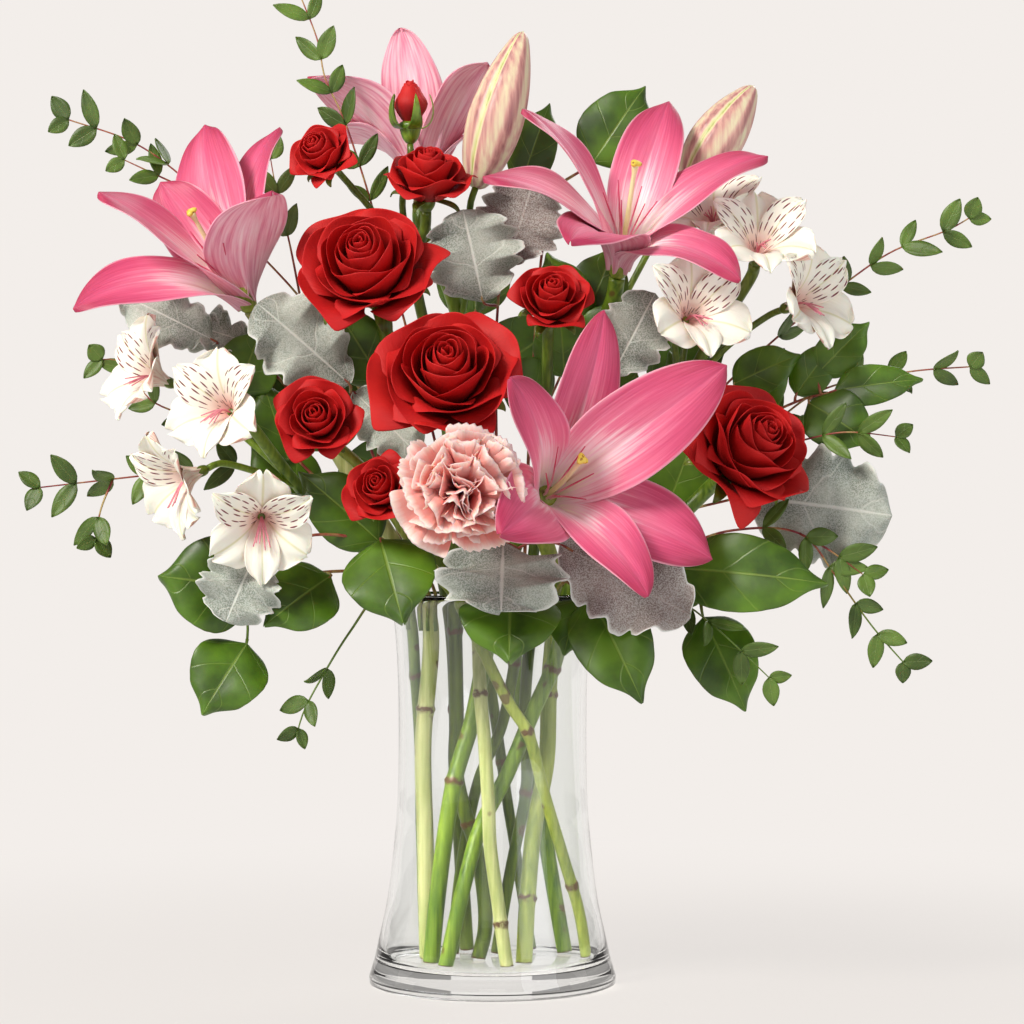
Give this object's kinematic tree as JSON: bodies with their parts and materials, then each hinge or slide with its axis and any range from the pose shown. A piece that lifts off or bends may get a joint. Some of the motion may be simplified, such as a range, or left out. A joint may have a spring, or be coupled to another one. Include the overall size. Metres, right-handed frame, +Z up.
{
  "type": "vase of mixed cut flowers",
  "caption": "Bouquet of red roses, pink lilies, a carnation, alstroemeria and mixed greens standing in a clear flared glass vase.",
  "frame": {"origin": "middle of the flat underside of the vase's foot", "axes": "+Z up, +X to the right seen from the side the bouquet faces, +Y to the back; the bouquet faces -Y"},
  "size_m": [0.5426, 0.276, 0.5641],
  "materials": {
    "clear_glass": "polished clear soda-lime glass with a thick foot",
    "red_rose_petal": "velvety matte scarlet petal",
    "pink_lily_tepal": "waxy pink tepal fading to a white throat",
    "lily_bud_skin": "cream bud skin with mauve stripes and green seams",
    "salmon_carnation_petal": "thin ruffled salmon petal with pale edges",
    "white_alstroemeria_tepal": "cream tepal with maroon dashes",
    "green_stem": "smooth fresh stem with brown nodes",
    "dusty_miller_felt": "silver felted leaf",
    "salal_leaf": "semi-gloss leathery green leaf with pale veins",
    "eucalyptus_leaf": "dull green leaf on a thin reddish twig"
  },
  "bodies": {
    "root": {"vase": "clear_glass", "rose_stem_upper": "green_stem", "rose_stem_centre": "green_stem", "rose_stem_right": "green_stem", "spray_stem_top": "green_stem", "spray_stem_right": "green_stem", "spray_stem_left": "green_stem", "lily_stem_left": "green_stem", "lily_stem_top": "green_stem", "lily_stem_right": "green_stem", "lily_stem_front": "green_stem", "carnation_stem": "green_stem", "alstroemeria_stem_left": "green_stem", "alstroemeria_stem_right": "green_stem", "rose_bloom_upper": "red_rose_petal", "rose_bloom_centre": "red_rose_petal", "rose_bloom_right": "red_rose_petal", "spray_rose_top_left": "red_rose_petal", "spray_rose_top": "red_rose_petal", "spray_rose_right": "red_rose_petal", "spray_rose_left": "red_rose_petal", "spray_rose_low": "red_rose_petal", "spray_rose_bud": "red_rose_petal", "carnation_bloom": "salmon_carnation_petal", "lily_front": "pink_lily_tepal", "lily_upper_right": "pink_lily_tepal", "lily_left": "pink_lily_tepal", "lily_top": "pink_lily_tepal", "lily_bud_left": "lily_bud_skin", "lily_bud_right": "lily_bud_skin", "alstroemeria_left_1": "white_alstroemeria_tepal", "alstroemeria_left_2": "white_alstroemeria_tepal", "alstroemeria_left_3": "white_alstroemeria_tepal", "alstroemeria_left_4": "white_alstroemeria_tepal", "alstroemeria_right_1": "white_alstroemeria_tepal", "alstroemeria_right_2": "white_alstroemeria_tepal", "alstroemeria_right_3": "white_alstroemeria_tepal", "alstroemeria_right_4": "white_alstroemeria_tepal", "dusty_miller_left": "dusty_miller_felt", "dusty_miller_far_left": "dusty_miller_felt", "dusty_miller_top": "dusty_miller_felt", "dusty_miller_middle": "dusty_miller_felt", "dusty_miller_right": "dusty_miller_felt", "dusty_miller_front": "dusty_miller_felt", "dusty_miller_low_left": "dusty_miller_felt", "salal_left": "salal_leaf", "salal_upper_left": "salal_leaf", "salal_front_left": "salal_leaf", "salal_front": "salal_leaf", "salal_low_right": "salal_leaf", "salal_right": "salal_leaf", "salal_top": "salal_leaf", "salal_back": "salal_leaf", "eucalyptus_top": "eucalyptus_leaf", "eucalyptus_upper_left": "eucalyptus_leaf", "eucalyptus_left": "eucalyptus_leaf", "eucalyptus_low_left": "eucalyptus_leaf", "eucalyptus_right": "eucalyptus_leaf", "eucalyptus_middle_right": "eucalyptus_leaf", "eucalyptus_low_right": "eucalyptus_leaf"}
  },
  "joints": []
}
